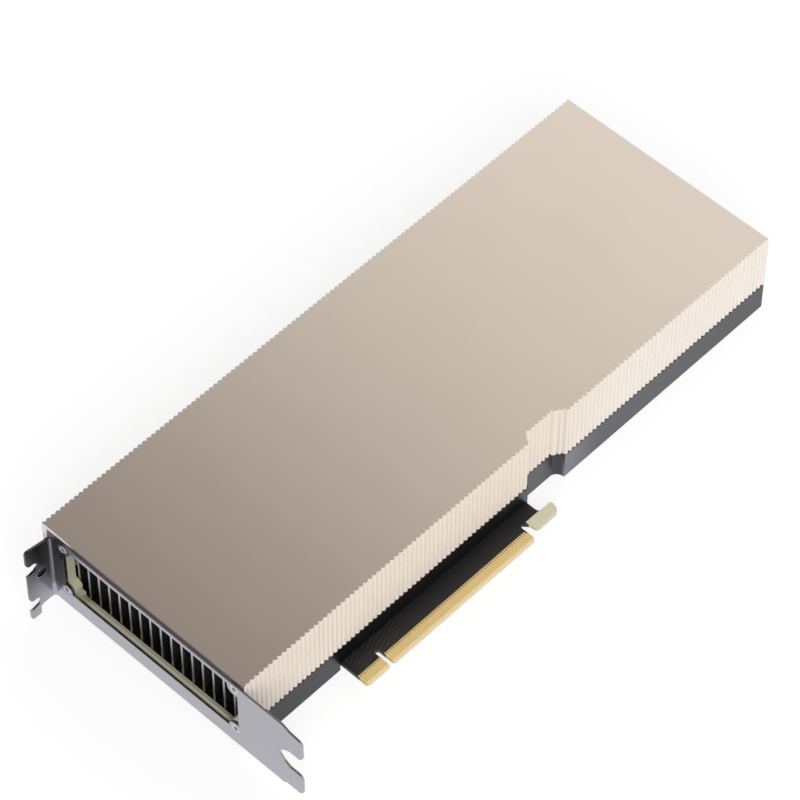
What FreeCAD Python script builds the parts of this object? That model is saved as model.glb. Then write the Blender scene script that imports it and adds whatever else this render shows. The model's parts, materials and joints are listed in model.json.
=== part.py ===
import FreeCAD, Part
import math
import os
from FreeCAD import Vector

os.makedirs("parts", exist_ok=True)

# Frame: origin on the connector edge of the board's component face, level with the outer face
# of the slot bracket. +X runs from the bracket to the far end, +Y from the connector edge to
# the top edge of the card, +Z from the board up to the face of the shroud.
SIZES = {
    "card_length": 268.0,        # outer face of the bracket to the open far end
    "card_height": 110.55,       # connector edge to the top edge of the card
    "side_face": 13.2,           # Y of the long side above the connector
    "shroud_front": 1.25,        # X where the shroud starts, just behind the bracket
    "shroud_top": 34.2,
    "shroud_lip": 8.6,           # Z where the shroud stands on the base frame
    "top_skin": 1.4,
    "side_skin": 2.2,            # wall from the rib crests to the duct
    "rib_pitch": 2.16,
    "rib_depth": 0.95,
    "rib_land": 0.9,             # plain strip of the wall at each end of the card
    "rib_crest": 0.9,            # flat width of a rib's crest; its flanks meet in a sharp valley
    "recess_start": 141.0,       # recess in the long side, behind the retention hook
    "recess_flat": 144.4,
    "recess_end": 157.6,
    "recess_corner": 160.3,
    "recess_depth": 3.7,
    "base_bottom": -4.2,
    "base_skin": 2.2,
    "deck_under": 4.2,
    "deck_top": 5.8,
    "seat_gap": 0.1,             # clearance round a piece that drops into another
    "board_thick": 1.57,
    "key_centre": 58.6,
    "key_width": 1.9,
    "key_depth": 8.0,
    "short_edge": 11.0,         # connector edge on the bracket side of the key
    "long_edge": 71.65,
    "edge_chamfer": 0.9,         # corners of the connector edge, in plan
    "bevel_long": 1.3,           # bevel of the connector edge's two faces
    "bevel_deep": 0.45,
    "contact_pitch": 1.0,
    "contact_width": 0.7,
    "contact_start": 1.3,        # Y where the gold starts, above the bevelled edge
    "contact_top": 5.2,
    "contact_thick": 0.05,
    "hook_gap": 3.2,
    "hook_root": 140.5,
    "hook_foot": 2.6,
    "sheet_thick": 0.86,
    "plate_low": -1.65,
    "plate_high": 32.8,
    "bend_top": 31.7,            # top of the sheet at the bend, lower than plate and tab
    "tab_high": 33.2,
    "tab_face": 105.5,           # Y of the face of the tab that sits on the chassis
    "tab_reach": 11.43,
    "tab_low": -6.1,
    "bend_radius": 1.4,
    "tongue_tip": -14.6,
    "notch_low": 1.7,            # Z of the two screw notches
    "notch_pitch": 20.32,
    "notch_radius": 2.2,
    "tab_hole_radius": 2.1,
    "tab_hole_reach": 5.1,
    "tab_hole_height": 16.4,
    "window_left": 99.2,
    "window_right": 15.4,
    "window_low": 6.2,
    "window_high": 31.2,
    "ear_radius": 3.1,
    "screw_near": 17.0,          # Y and Z of the four bracket screws
    "screw_far": 99.4,
    "screw_low": 6.7,
    "screw_high": 30.3,
    "screw_pilot": 1.05,         # radius of the threaded holes and of the shanks in them
    "screw_clear": 1.45,
    "screw_head": 2.1,
    "screw_play": 0.05,          # round a countersunk head
    "hex_radius": 2.3,           # heatsink screws, across the corners
    "hex_high": 1.6,
    "boss_half": 2.7,            # square bosses inside the shroud and the posts under them
    "boss_high": 12.0,
    "boss_drill": 8.0,
    "boss_front": 10.0,
    "boss_back": 250.0,
    "boss_inset": 4.8,           # from the rib crests to the middle of a boss
    "frame_depth": 3.5,          # exhaust frame behind the bracket
    "frame_low": 1.0,
    "frame_rail": 1.3,           # how deep the frame's lower rail is
    "frame_corner": 0.8,
    "back_thick": 1.4,
    "gpu_x": 137.0,
    "gpu_y": 61.4,
    "heatsink_reach": 34.0,      # from the processor's middle to the heatsink's screws
    "package_side": 55.0,
    "package_thick": 1.1,
    "die_thick": 0.8,
    "compound_thick": 0.1,
    "chamber_start": 60.0,
    "chamber_end": 215.0,
    "chamber_near": 23.4,
    "chamber_far": 100.4,
    "chamber_under": 2.9,
    "chamber_corner": 4.0,
    "post_radius": 3.2,          # hexagonal posts under the vapour chamber, across the corners
    "fin_front": 5.1,
    "fin_inner_front": 30.0,
    "fin_back": 248.0,
    "fin_count": 16,
    "fin_pitch": 5.04,
    "fin_near": 22.3,
    "fin_thick": 0.9,
    "fin_inner_thick": 0.5,
    "fin_foot": 0.6,
    "fin_skirt": 6.4,            # length of the deeper front ends of the main fins
    "skirt_low": 1.3,
    "fin_top": 32.2,
    "inductor_side": 8.0,
    "inductor_high": 4.0,
    "socket_width": 19.0,
    "socket_length": 14.5,
    "socket_high": 10.2,
    "socket_near": 86.4,
    "pin_pitch": 4.2,
}

doc = FreeCAD.newDocument("accelerator_card")
sheet = doc.addObject("Spreadsheet::Sheet", "Sizes")
for row, (alias, value) in enumerate(SIZES.items(), start=1):
    sheet.set("A%d" % row, alias)
    sheet.set("B%d" % row, str(value))
    sheet.setAlias("B%d" % row, alias)
doc.recompute()


def size(alias):
    """The value of one cell of the sheet, as a number."""
    return float(sheet.get(alias))


def bind(item, **formulas):
    """Bind properties of an object to formulas on the sheet; __ stands for a dot."""
    for name, formula in formulas.items():
        item.setExpression(name.replace("__", "."), formula)


def cells(formula):
    """Put the sheet's name before every alias used in a formula."""
    words = formula.replace("(", " ( ").replace(")", " ) ").split()
    return " ".join("Sizes." + word if word in SIZES else word for word in words)


def box(label, low, extent):
    """A Part::Box; low corner and extent are formulas on the sheet."""
    item = doc.addObject("Part::Box", label)
    bind(item, Placement__Base__x=cells(low[0]), Placement__Base__y=cells(low[1]),
         Placement__Base__z=cells(low[2]), Length=cells(extent[0]), Width=cells(extent[1]),
         Height=cells(extent[2]))
    return item


def drill(label, centre, radius, height):
    """An upright hole for a hidden screw, eight-sided like its shank; formulas on the sheet."""
    item = doc.addObject("Part::Prism", label)
    item.Polygon = 8
    bind(item, Placement__Base__x=cells(centre[0]), Placement__Base__y=cells(centre[1]),
         Placement__Base__z=cells(centre[2]), Circumradius=cells(radius), Height=cells(height))
    return item


def countersink(label, mouth, depth, along="z"):
    """The seat of a countersunk head, from its mouth inwards; formulas on the sheet."""
    item = doc.addObject("Part::Cone", label)
    turns = {"x": (Vector(0, 1, 0), 90), "z": (Vector(0, 0, 1), 0)}
    item.Placement.Rotation = FreeCAD.Rotation(*turns[along])
    bind(item, Placement__Base__x=cells(mouth[0]), Placement__Base__y=cells(mouth[1]),
         Placement__Base__z=cells(mouth[2]), Radius1=cells("screw_head + screw_play"),
         Radius2=cells("screw_pilot + screw_play"), Height=cells(depth))
    return item


def post(label, x, y, low, height):
    """A square post in line with a case screw; formulas on the sheet."""
    return box(label, (x + " - boss_half", y + " - boss_half", low),
               ("2 * boss_half", "2 * boss_half", height))


def fuse(label, items):
    item = doc.addObject("Part::MultiFuse", label)
    item.Shapes = items
    item.Refine = True
    return item


def cut(label, base, tool):
    item = doc.addObject("Part::Cut", label)
    item.Base = base
    item.Tool = tool
    item.Refine = True
    return item


def feature(label, shape):
    """A Part::Feature that carries a ready shape."""
    item = doc.addObject("Part::Feature", label)
    item.Shape = shape
    return item


def curves(points):
    """Lines and arcs of a closed outline; a pair of points is an arc's middle and its end."""
    found = []
    here = points[0]
    for step in points[1:] + [points[0]]:
        if isinstance(step, tuple):
            middle, end = step
            found.append(Part.Arc(here, middle, end))
            here = end
        elif step.distanceToPoint(here) > 1e-7:
            found.append(Part.LineSegment(here, step))
            here = step
    return found


def path(points):
    """The closed wire of an outline."""
    return Part.Wire([curve.toShape() for curve in curves(points)])


def polygon(centre, radius, sides=8):
    """The corners of a regular polygon; hidden screw holes are drawn with eight sides."""
    turn = 2 * math.pi / sides
    return [centre + Vector(math.cos(n * turn), math.sin(n * turn), 0) * radius
            for n in range(sides)]


def rectangle(low_x, low_y, high_x, high_y):
    return [Vector(low_x, low_y, 0), Vector(high_x, low_y, 0), Vector(high_x, high_y, 0),
            Vector(low_x, high_y, 0)]


def new_body(label):
    return doc.addObject("PartDesign::Body", label)


def sketch_on(body, name, plane, level, outlines=(), circles=()):
    """A sketch on an origin plane of a body, moved along its normal to a level.

    outlines are lists of steps as in path(); circles are (centre, radius) pairs.
    """
    sketch = body.newObject("Sketcher::SketchObject", name)
    support = [f for f in body.Origin.OriginFeatures if f.Role == plane][0]
    sketch.AttachmentSupport = [(support, "")]
    sketch.MapMode = "FlatFace"
    sketch.setExpression("AttachmentOffset.Base.z", cells(level))
    for points in outlines:
        sketch.addGeometry(curves(points), False)
    for centre, radius in circles:
        sketch.addGeometry(Part.Circle(centre, Vector(0, 0, 1), radius), False)
    return sketch


def pad(body, sketch, length):
    item = body.newObject("PartDesign::Pad", sketch.Name + "_pad")
    item.Profile = sketch
    bind(item, Length=cells(length))
    return item


def pocket(body, sketch, depth=None, reversed_way=False):
    """A pocket through everything on both sides of its sketch, or to a depth."""
    item = body.newObject("PartDesign::Pocket", sketch.Name + "_pocket")
    item.Profile = sketch
    if depth is None:
        item.Type = "ThroughAll"
        item.Midplane = True
    else:
        item.Reversed = reversed_way
        bind(item, Length=cells(depth))
    return item


def extrude(label, profile, height):
    item = doc.addObject("Part::Extrusion", label)
    item.Base = profile
    item.DirMode = "Custom"
    item.Dir = Vector(0, 0, 1)
    item.Solid = True
    bind(item, LengthFwd=cells(height))
    return item


# ---------------------------------------------------------------- outline of the card's sides

FRONT = size("shroud_front")
BACK = size("card_length")
SIDE = size("side_face")
TOP_EDGE = size("card_height")
RECESS_FLOOR = SIDE + size("recess_depth")


def recess_sides(shrink=0.0):
    """The long side's recess in plan: a short ramp in, a flat and a rounded way out."""
    start = Vector(size("recess_start") - shrink, SIDE + shrink, 0)
    inner = Vector(size("recess_flat") - shrink, RECESS_FLOOR + shrink, 0)
    flat_end = Vector(size("recess_end") + shrink, RECESS_FLOOR + shrink, 0)
    corner = Vector(size("recess_corner") + shrink, SIDE + shrink, 0)
    ramp_middle = Vector((start.x + inner.x) / 2 - 0.25, (start.y + inner.y) / 2 + 0.15, 0)
    round_middle = Vector(corner.x - 0.55, corner.y + 0.58 * (flat_end.y - corner.y), 0)
    return [start, (ramp_middle, inner), flat_end, (round_middle, corner)]


def side_outline(level, shrink=0.0):
    """The card's outline in plan without the bracket, drawn in by shrink all round."""
    points = [Vector(FRONT + shrink, SIDE + shrink, 0)]
    points += recess_sides(shrink)
    points += [
        Vector(BACK - shrink, SIDE + shrink, 0),
        Vector(BACK - shrink, TOP_EDGE - shrink, 0),
        Vector(FRONT + shrink, TOP_EDGE - shrink, 0),
    ]
    wire = path(points)
    wire.translate(Vector(0, 0, level))
    return Part.Face(wire)


# ---------------------------------------------------------------- shroud

def rib_row(start, end, inward):
    """Flat-topped ribs side by side on a straight run; returns the steps of a path.

    Each rib's crest lies on the run, and its two flanks meet the next ones in a sharp valley.
    """
    run = end - start
    count = max(1, round(run.Length / size("rib_pitch")))
    along = run / run.Length
    pitch = run.Length / count
    half_crest = size("rib_crest") / 2
    deep = inward * size("rib_depth")
    steps = []
    for index in range(count):
        middle = start + along * ((index + 0.5) * pitch)
        valley = start + along * (index * pitch) + deep
        steps += [valley, middle - along * half_crest, middle + along * half_crest]
    return steps


def shroud_outline():
    near = Vector(0, 1, 0)
    far = Vector(0, -1, 0)
    depth = size("rib_depth")
    corner_a = Vector(FRONT, SIDE, 0)
    corner_b = Vector(size("recess_start"), SIDE, 0)
    corner_c = Vector(size("recess_flat"), RECESS_FLOOR, 0)
    corner_d = Vector(size("recess_end") - 2.0, RECESS_FLOOR, 0)
    corner_e = Vector(size("recess_corner"), SIDE, 0)
    corner_f = Vector(BACK, SIDE, 0)
    land = Vector(size("rib_land"), 0, 0)
    row_start = land + Vector(size("rib_pitch") / 4, 0, 0)
    points = [corner_a, corner_a + land] + rib_row(corner_a + row_start, corner_b, near)
    points += [Vector(corner_b.x, corner_b.y + depth, 0)]
    points += [(Vector(corner_b.x + 1.3, corner_b.y + 3.0, 0), Vector(corner_c.x, corner_c.y + depth, 0))]
    points += rib_row(corner_c, corner_d, near)
    # two broad flutes carry the wall round the end of the recess
    flute_a = Vector(corner_d.x + 1.6, RECESS_FLOOR + 0.5, 0)
    flute_b = Vector(corner_e.x - 0.6, SIDE + 2.0, 0)
    flute_c = Vector(corner_e.x - 0.1, SIDE + depth, 0)
    points += [Vector(corner_d.x + 0.3, RECESS_FLOOR + depth, 0)]
    points += [(Vector(corner_d.x + 0.8, RECESS_FLOOR + 0.1, 0), flute_a)]
    points += [(Vector(corner_e.x - 1.3, RECESS_FLOOR - 0.9, 0), flute_b)]
    points += [(Vector(corner_e.x + 0.15, SIDE + 1.2, 0), flute_c)]
    points += rib_row(corner_e, corner_f - row_start, near)
    points += [corner_f - row_start + near * depth, corner_f - land, corner_f]
    corner_g = Vector(BACK, TOP_EDGE, 0)
    corner_h = Vector(FRONT, TOP_EDGE, 0)
    points += [corner_g, corner_g - land] + rib_row(corner_g - row_start, corner_h + row_start, far)
    points += [corner_h + row_start + far * depth, corner_h + land, corner_h]
    wire = path(points)
    wire.translate(Vector(0, 0, size("shroud_lip")))
    return Part.Face(wire)


BOSS_PLACES = [("boss_front", "side_face + boss_inset"), ("boss_back", "side_face + boss_inset"),
               ("boss_front", "card_height - boss_inset"), ("boss_back", "card_height - boss_inset")]

shroud_block = extrude("shroud_block", feature("shroud_profile", shroud_outline()),
                       "shroud_top - shroud_lip")
duct = box("duct", ("shroud_front - 1", "side_face + side_skin", "shroud_lip - 1"),
           ("card_length - shroud_front + 2", "card_height - side_face - 2 * side_skin",
            "shroud_top - top_skin - shroud_lip + 1"))
recess_backing = box("recess_backing",
                     ("recess_start - side_skin", "side_face", "shroud_lip - 1"),
                     ("recess_corner - recess_start + 2 * side_skin", "recess_depth + side_skin",
                      "shroud_top - shroud_lip + 1"))
shroud_bosses = [post("shroud_boss_%d" % n, x, y, "shroud_lip", "boss_high")
                 for n, (x, y) in enumerate(BOSS_PLACES)]
shroud_pilots = [drill("shroud_pilot_%d" % n, (x, y, "shroud_lip - 1"), "screw_pilot",
                       "boss_drill + 1")
                 for n, (x, y) in enumerate(BOSS_PLACES)]
shroud_shell = cut("shroud_shell", shroud_block, cut("duct_space", duct, recess_backing))
shroud = cut("shroud", fuse("shroud_with_bosses", [shroud_shell] + shroud_bosses),
             fuse("shroud_pilots", shroud_pilots))

# ---------------------------------------------------------------- base frame under the shroud

base_block = extrude("base_block", feature("base_profile", side_outline(size("base_bottom"))),
                     "shroud_lip - base_bottom")
inner_face = feature("base_inner_profile",
                     side_outline(size("base_bottom") - 1.0, shrink=size("base_skin")))
tray_above = box("tray_above", ("0", "0", "deck_top"), ("card_length + 5", "card_height + 5", "10"))
tray_below = box("tray_below", ("0", "0", "base_bottom - 5"),
                 ("card_length + 5", "card_height + 5", "deck_under - base_bottom + 5"))
tray_core = extrude("tray_core", inner_face, "shroud_lip - base_bottom + 3")
tray_space = doc.addObject("Part::MultiCommon", "tray_space")
tray_space.Shapes = [tray_core, fuse("tray_levels", [tray_above, tray_below])]
chamber_window = box("chamber_window", ("chamber_start - 0.5", "chamber_near - 0.5", "0"),
                     ("chamber_end - chamber_start + 1", "chamber_far - chamber_near + 1", "8"))
front_door = box("front_door", ("0", "side_face + base_skin", "0.9"),
                 ("shroud_front + base_skin + 1.5", "card_height - side_face - 2 * base_skin", "10"))
tongue_door = box("tongue_door", ("key_centre - short_edge - key_width / 2 - 0.2", "side_face - 1",
                                  "base_bottom - 1"),
                  ("hook_root - key_centre + short_edge + key_width / 2 + 0.4",
                   "recess_depth + base_skin + 1.4", "1 - base_bottom"))
skirt_door = box("skirt_door", ("0", "fin_near - 1.4", "0.9"),
                 ("fin_front + fin_skirt + 0.6", "fin_pitch * (fin_count - 1) + 2.8", "10"))
socket_door = box("socket_door", ("card_length - socket_length - 1", "socket_near - 0.3", "0"),
                  ("socket_length + 5", "socket_width + 0.6", "12"))
base_tray = cut("base_tray", base_block,
                fuse("base_openings", [tray_space, chamber_window, front_door, skirt_door,
                                       tongue_door, socket_door]))
case_posts = [post("case_post_%d" % n, x, y, "0", "shroud_lip")
              for n, (x, y) in enumerate(BOSS_PLACES)]
case_holes = [drill("case_hole_%d" % n, (x, y, "-1"), "screw_clear", "shroud_lip + 2")
              for n, (x, y) in enumerate(BOSS_PLACES)]
base_frame = cut("base_frame", fuse("base_with_posts", [base_tray] + case_posts),
                 fuse("base_holes", case_holes))

# ---------------------------------------------------------------- exhaust frame behind the bracket

SCREW_FORMULAS = [("screw_near", "screw_low"), ("screw_far", "screw_low"),
                  ("screw_far", "screw_high"), ("screw_near", "screw_high")]
SCREW_PLACES = [(size(y), size(z)) for y, z in SCREW_FORMULAS]


def eared_window(near, far, low, high):
    """A window whose corners step round the ears of the four screws; coordinates are Y and Z."""
    radius = size("ear_radius")
    steps = []
    for index, (centre_y, centre_z) in enumerate(SCREW_PLACES):
        edge_y = near if centre_y < (near + far) / 2 else far
        edge_z = low if centre_z < (low + high) / 2 else high
        side_y = 1 if edge_y == near else -1
        side_z = 1 if edge_z == low else -1
        on_side = Vector(edge_y, centre_z
                         + side_z * math.sqrt(radius ** 2 - (edge_y - centre_y) ** 2), 0)
        on_rail = Vector(centre_y + side_y * math.sqrt(radius ** 2 - (edge_z - centre_z) ** 2),
                         edge_z, 0)
        crest = Vector(centre_y + side_y * radius * math.sqrt(0.5),
                       centre_z + side_z * radius * math.sqrt(0.5), 0)
        first, last = (on_side, on_rail) if index % 2 == 0 else (on_rail, on_side)
        steps += [first, (crest, last)]
    return steps


exhaust_frame = new_body("exhaust_frame")
frame_near = SIDE + size("side_skin") + size("seat_gap")
frame_far = TOP_EDGE - size("side_skin") - size("seat_gap")
frame_top = size("shroud_top") - size("top_skin") - size("seat_gap")
frame_sketch = sketch_on(exhaust_frame, "frame_outline", "YZ_Plane", "shroud_front + seat_gap", [[
    Vector(frame_near, size("frame_low"), 0),
    Vector(frame_far, size("frame_low"), 0),
    Vector(frame_far, frame_top - size("frame_corner"), 0),
    Vector(frame_far - size("frame_corner"), frame_top, 0),
    Vector(frame_near, frame_top, 0),
]])
pad(exhaust_frame, frame_sketch, "frame_depth")
mouth = eared_window(size("window_right") + 1.0, size("window_left") + 0.2,
                     size("window_low") - 1.2, size("window_high") + 0.2)
pocket(exhaust_frame, sketch_on(exhaust_frame, "frame_mouth", "YZ_Plane", "0", [mouth]))
# behind the lower rail the frame is open, apart from a raised block at its far end
relief = rectangle(size("screw_near") + size("ear_radius"), size("frame_low") + 1.5,
                   size("screw_far") - size("ear_radius") - 1.5, size("window_low") - 1.0)
pocket(exhaust_frame, sketch_on(exhaust_frame, "frame_relief", "YZ_Plane",
                                "shroud_front + seat_gap + frame_rail", [relief]),
       "frame_depth - frame_rail", reversed_way=True)
pocket(exhaust_frame, sketch_on(exhaust_frame, "frame_pilots", "YZ_Plane", "0", [
    polygon(Vector(y, z, 0), size("screw_pilot")) for y, z in SCREW_PLACES]))

# ---------------------------------------------------------------- slot bracket, one bent sheet

PLATE_LOW = size("plate_low")
PLATE_HIGH = size("plate_high")
TAB_FACE = size("tab_face")
SHEET = size("sheet_thick")
TIP = size("tongue_tip")
TAB_END = -size("tab_reach")
TONGUE_LOW = -0.6
TONGUE_HIGH = 30.9
TONGUE_WIDE = 10.9
TIP_RADIUS = 2.2
SHOULDER = TIP + 9.0
NECK_LOW = -1.5
BEND_TOP = size("bend_top")


def rounded_tip(low, high):
    """A tongue's free end between two edges, with both corners rounded."""
    slack = TIP_RADIUS * (1 - math.sqrt(0.5))
    return [
        Vector(TIP + TIP_RADIUS, low, 0),
        (Vector(TIP + slack, low + slack, 0), Vector(TIP, low + TIP_RADIUS, 0)),
        Vector(TIP, high - TIP_RADIUS, 0),
        (Vector(TIP + slack, high - slack, 0), Vector(TIP + TIP_RADIUS, high, 0)),
    ]


def plate_outline():
    """The plate with its two tongues; coordinates are Y and Z."""
    lower_top = TONGUE_LOW + TONGUE_WIDE
    upper_low = TONGUE_HIGH - TONGUE_WIDE
    throat = (lower_top + upper_low) / 2
    points = [Vector(TAB_FACE + SHEET, NECK_LOW, 0), Vector(TAB_FACE - 1.5, NECK_LOW, 0)]
    points += [Vector(TAB_FACE - 3.0, PLATE_LOW, 0), Vector(SHOULDER, PLATE_LOW, 0)]
    points += [Vector(SHOULDER - 1.5, TONGUE_LOW, 0)]
    points += rounded_tip(TONGUE_LOW, lower_top)
    points += [Vector(TIP + 6.0, lower_top, 0), Vector(TIP + 8.4, throat - 3.4, 0)]
    points += [Vector(TIP + 10.4, throat - 1.3, 0)]
    points += [(Vector(TIP + 11.0, throat, 0), Vector(TIP + 10.4, throat + 1.3, 0))]
    points += [Vector(TIP + 8.4, throat + 3.4, 0), Vector(TIP + 6.0, upper_low, 0)]
    points += rounded_tip(upper_low, TONGUE_HIGH)
    points += [Vector(TIP + 6.0, TONGUE_HIGH + 0.5, 0), Vector(SHOULDER, PLATE_HIGH, 0)]
    points += [Vector(TAB_FACE - 2.7, PLATE_HIGH, 0), Vector(TAB_FACE - 1.6, BEND_TOP, 0)]
    points += [Vector(TAB_FACE + SHEET, BEND_TOP, 0)]
    return points


def notch(centre):
    """A screw notch open to the tab's free edge, walked from its top lip down; X and Z."""
    radius = size("notch_radius")
    hub = TAB_END + 4.9
    return [
        Vector(TAB_END, centre + radius + 2.6, 0),
        (Vector(TAB_END + 0.45, centre + radius + 0.9, 0),
         Vector(TAB_END + 1.7, centre + radius, 0)),
        Vector(hub - radius, centre + radius, 0),
        (Vector(hub, centre, 0), Vector(hub - radius, centre - radius, 0)),
        Vector(TAB_END + 1.2, centre - radius - 0.4, 0),
        (Vector(TAB_END + 0.35, centre - radius - 0.2, 0),
         Vector(TAB_END, centre - radius + 0.8, 0)),
    ]


def tab_outline():
    """The tab that is screwed to the chassis; coordinates are X and Z."""
    low = size("tab_low")
    lower_notch = size("notch_low")
    high = size("tab_high")
    points = [Vector(SHEET, BEND_TOP, 0), Vector(-1.8, BEND_TOP, 0), Vector(TAB_END + 1.4, high, 0)]
    points += [(Vector(TAB_END + 0.4, high - 0.4, 0), Vector(TAB_END, high - 1.4, 0))]
    points += notch(lower_notch + size("notch_pitch"))
    points += notch(lower_notch)
    points += [Vector(TAB_END, low + 1.4, 0)]
    points += [(Vector(TAB_END + 0.4, low + 0.4, 0), Vector(TAB_END + 1.4, low, 0))]
    points += [Vector(-7.9, low, 0), (Vector(-7.2, low + 0.3, 0), Vector(-6.9, low + 1.0, 0))]
    points += [Vector(-6.9, NECK_LOW - 1.4, 0)]
    points += [(Vector(-6.49, NECK_LOW - 0.41, 0), Vector(-5.5, NECK_LOW, 0))]
    points += [Vector(SHEET, NECK_LOW, 0)]
    return points


bracket = new_body("bracket_sheet")
pad(bracket, sketch_on(bracket, "plate_outline", "YZ_Plane", "0", [plate_outline()]), "sheet_thick")
pad(bracket, sketch_on(bracket, "tab_outline", "XZ_Plane", "0 - tab_face - sheet_thick",
                       [tab_outline()]), "sheet_thick")
window = eared_window(size("window_right"), size("window_left"), size("window_low"),
                      size("window_high"))
pocket(bracket, sketch_on(bracket, "bracket_window", "YZ_Plane", "0", [window]))
tab_hole = sketch_on(bracket, "tab_hole", "XZ_Plane", "0 - tab_face", circles=[
    (Vector(-size("tab_hole_reach"), size("tab_hole_height"), 0), size("tab_hole_radius"))])
tab_drill = pocket(bracket, tab_hole)
doc.recompute()


def edges_on(shape, x, y):
    """Names of the edges that run along Z at a place in plan."""
    names = []
    for index, edge in enumerate(shape.Edges, start=1):
        middle = edge.CenterOfMass
        upright = abs(edge.BoundBox.ZLength - edge.Length) < 1e-6
        if upright and abs(middle.x - x) < 1e-6 and abs(middle.y - y) < 1e-6:
            names.append("Edge%d" % index)
    return names


def round_edges(body, name, x, y, radius):
    base = body.Tip
    fillet = body.newObject("PartDesign::Fillet", name)
    fillet.Base = (base, edges_on(base.Shape, x, y))
    bind(fillet, Radius=cells(radius))
    doc.recompute()


bracket.Tip = tab_drill
round_edges(bracket, "bend_inside", 0.0, TAB_FACE, "bend_radius")
round_edges(bracket, "bend_outside", SHEET, TAB_FACE + SHEET, "bend_radius + sheet_thick")
seats = [countersink("bracket_seat_%d" % n, ("0", y, z), "sheet_thick", along="x")
         for n, (y, z) in enumerate(SCREW_FORMULAS)]
cut("bracket", bracket, fuse("bracket_seats", seats))

# ---------------------------------------------------------------- printed circuit board

KEY = size("key_centre")
HALF_KEY = size("key_width") / 2
TONGUE_START = KEY - HALF_KEY - size("short_edge")
TONGUE_END = KEY + HALF_KEY + size("long_edge")
BOARD_INSET = size("base_skin") + size("seat_gap")
HOOK_START = TONGUE_END + size("hook_gap")
HOOK_ROOT = size("hook_root")
HOOK_FOOT = size("hook_foot")


def board_outline():
    """The board in plan: connector edge, key slot, retention hook and the plain far sides."""
    left = FRONT + size("base_skin") + 1.6
    right = BACK - BOARD_INSET
    near = SIDE + BOARD_INSET
    far = TOP_EDGE - BOARD_INSET
    chamfer = size("edge_chamfer")
    key_top = size("key_depth") - HALF_KEY
    recess_near = RECESS_FLOOR + BOARD_INSET
    return [
        Vector(left, near, 0),
        Vector(TONGUE_START, near, 0),
        Vector(TONGUE_START, chamfer, 0),
        Vector(TONGUE_START + chamfer, 0, 0),
        Vector(KEY - HALF_KEY - 0.4, 0, 0),
        Vector(KEY - HALF_KEY, 0.4, 0),
        Vector(KEY - HALF_KEY, key_top, 0),
        (Vector(KEY, size("key_depth"), 0), Vector(KEY + HALF_KEY, key_top, 0)),
        Vector(KEY + HALF_KEY, 0.4, 0),
        Vector(KEY + HALF_KEY + 0.4, 0, 0),
        Vector(TONGUE_END - chamfer, 0, 0),
        Vector(TONGUE_END, chamfer, 0),
        Vector(TONGUE_END, 7.3, 0),
        Vector(TONGUE_END + 0.4, 7.8, 0),
        Vector(TONGUE_END + 1.3, 7.8, 0),
        Vector(HOOK_START - 0.9, 6.8, 0),
        Vector(HOOK_START, 5.4, 0),
        Vector(HOOK_START, 4.0, 0),
        (Vector(HOOK_START + 0.4, HOOK_FOOT + 0.4, 0), Vector(HOOK_START + 1.4, HOOK_FOOT, 0)),
        Vector(HOOK_ROOT + 3.6, HOOK_FOOT, 0),
        (Vector(HOOK_ROOT + 5.1, HOOK_FOOT + 0.7, 0), Vector(HOOK_ROOT + 5.9, 4.7, 0)),
        Vector(HOOK_ROOT + 6.2, 6.0, 0),
        (Vector(HOOK_ROOT + 6.15, 7.0, 0), Vector(HOOK_ROOT + 5.2, 7.4, 0)),
        Vector(HOOK_ROOT + 1.4, 7.4, 0),
        (Vector(HOOK_ROOT + 0.41, 7.81, 0), Vector(HOOK_ROOT, 8.8, 0)),
        Vector(HOOK_ROOT, recess_near, 0),
        Vector(size("recess_corner") + BOARD_INSET + 0.3, recess_near, 0),
        Vector(size("recess_corner") + BOARD_INSET + 0.3, near, 0),
        Vector(right, near, 0),
        Vector(right, far, 0),
        Vector(left, far, 0),
    ]


GPU = Vector(size("gpu_x"), size("gpu_y"), 0)
HEATSINK_SCREWS = [GPU + Vector(side_x, side_y, 0) * size("heatsink_reach")
                   for side_x in (-1, 1) for side_y in (-1, 1)]
CASE_SCREWS = [Vector(x, y, 0)
               for x in (size("boss_front"), size("boss_back"))
               for y in (SIDE + size("boss_inset"), TOP_EDGE - size("boss_inset"))]

board = new_body("circuit_board")
pad(board, sketch_on(board, "board_outline", "XY_Plane", "0 - board_thick", [board_outline()]),
    "board_thick")
pocket(board, sketch_on(board, "board_holes", "XY_Plane", "0", [
    polygon(place, size("screw_clear")) for place in CASE_SCREWS + HEATSINK_SCREWS]))


def edge_bevel(face, inward):
    """What a bevel takes off one face of the connector edge; coordinates are Y and Z."""
    deep = inward * size("bevel_deep")
    return [Vector(0, face + deep, 0), Vector(size("bevel_long"), face, 0),
            Vector(size("bevel_long"), face - deep, 0), Vector(-1, face - deep, 0),
            Vector(-1, face + deep, 0)]


pocket(board, sketch_on(board, "edge_bevels", "YZ_Plane", "0", [
    edge_bevel(0.0, -1), edge_bevel(-size("board_thick"), 1)]))


def group(label, solids):
    """One node of like pieces that stay separate solids."""
    return feature(label, Part.makeCompound(solids))


def block(centre_x, centre_y, low, length, width, height):
    """A box standing on a level, centred in plan."""
    return Part.makeBox(length, width, height,
                        Vector(centre_x - length / 2, centre_y - width / 2, low))


def contact_rows(low):
    """Gold contacts of one side of the connector edge, in two runs beside the key."""
    pitch = size("contact_pitch")
    first = KEY - HALF_KEY - 0.55
    second = KEY + HALF_KEY + 0.55
    short_run = [first - pitch * n for n in range(11)]
    long_run = [second + pitch * n for n in range(71)]
    width = size("contact_width")
    length = size("contact_top") - size("contact_start")
    return [block(x, size("contact_start") + length / 2, low, width, length, size("contact_thick"))
            for x in short_run + long_run]


group("edge_contacts_front", contact_rows(0.0))
group("edge_contacts_back", contact_rows(-size("board_thick") - size("contact_thick")))

# ---------------------------------------------------------------- processor package

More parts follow.
